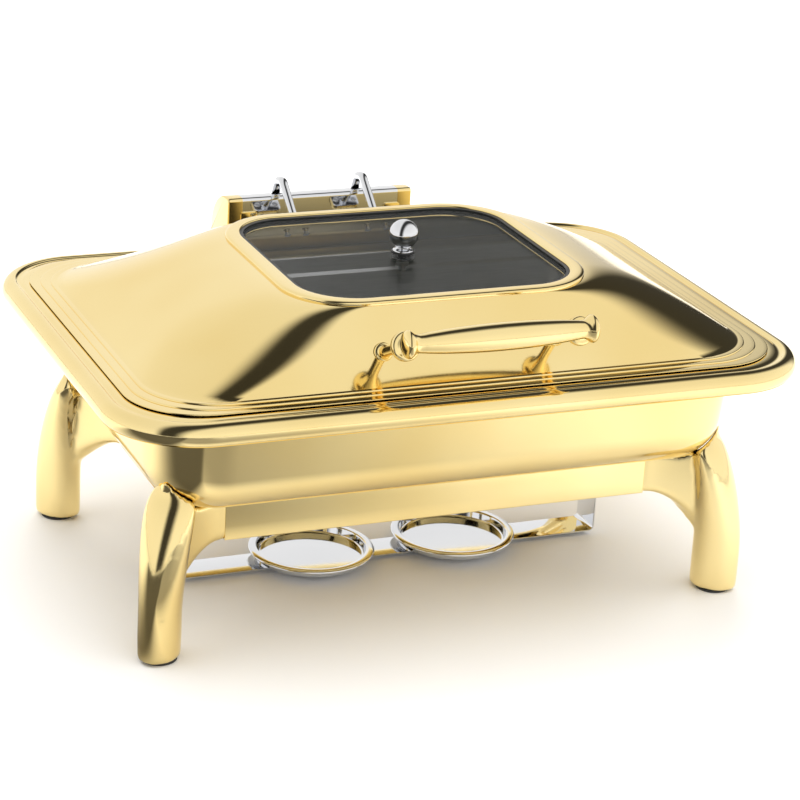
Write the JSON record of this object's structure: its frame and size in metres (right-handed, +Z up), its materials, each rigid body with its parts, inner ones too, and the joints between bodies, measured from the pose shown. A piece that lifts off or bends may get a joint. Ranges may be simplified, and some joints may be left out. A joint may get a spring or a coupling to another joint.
{
  "type": "rectangular chafing dish",
  "caption": "Rectangular buffet chafing dish: hinged glass-window lid over a food pan and water pan, on a four-legged stand with a burner rack.",
  "frame": {"origin": "on the table, under the centre of the overall bounding box", "axes": "+X along the long side, -Y towards the handle side, +Z up"},
  "size_m": [0.614, 0.46, 0.3128],
  "materials": {
    "gold": "mirror-polished gold coating on stainless steel",
    "leg_gold": "mirror-polished gold plating on a casting",
    "chrome": "mirror-polished stainless steel",
    "steel": "satin stainless steel",
    "bush_bronze": "plain bearing bronze",
    "window_glass": "clear tempered glass",
    "silicone": "matt silicone",
    "black_rubber": "matt rubber"
  },
  "bodies": {
    "stand": {"leg_front_left": "leg_gold", "leg_front_right": "leg_gold", "leg_rear_left": "leg_gold", "leg_rear_right": "leg_gold", "foot_pads": "black_rubber", "rail_front": "gold", "rail_rear": "gold", "rail_left": "gold", "rail_right": "gold", "rail_screws": "steel", "burner_strip": "chrome", "rack_screws": "steel", "fuel_plate_left": "chrome", "fuel_plate_right": "chrome", "fuel_rivets": "steel"},
    "pan": {"water_pan": "gold", "food_pan": "steel", "hinge_bracket": "gold", "hinge_cover": "chrome", "hinge_end_cap_left": "gold", "hinge_end_cap_right": "gold", "hinge_bush_left": "bush_bronze", "hinge_bush_right": "bush_bronze", "torsion_spring": "steel", "damper": "steel", "hinge_screws": "steel"},
    "lid": {"lid_shell": "gold", "window_frame": "gold", "gasket": "silicone", "glass_panel": "window_glass", "vent_ball": "chrome", "vent_stem": "steel", "vent_washers": "silicone", "vent_nut": "steel", "lid_bumpers": "silicone", "handle_bar": "gold", "handle_post_left": "gold", "handle_post_right": "gold", "handle_screws": "steel", "hinge_shaft": "steel", "arm_left": "chrome", "arm_right": "chrome", "arm_rivets": "steel"}
  },
  "joints": [
    {"name": "pan_lift", "type": "slide", "parent": "stand", "child": "pan", "axis": [0, 0, 1], "range_m": [0, 0.12]},
    {"name": "lid_hinge", "type": "hinge", "parent": "pan", "child": "lid", "pos_m": [0, 0.205, 0.258], "axis": [-1, 0, 0], "range_deg": [0, 90]}
  ]
}
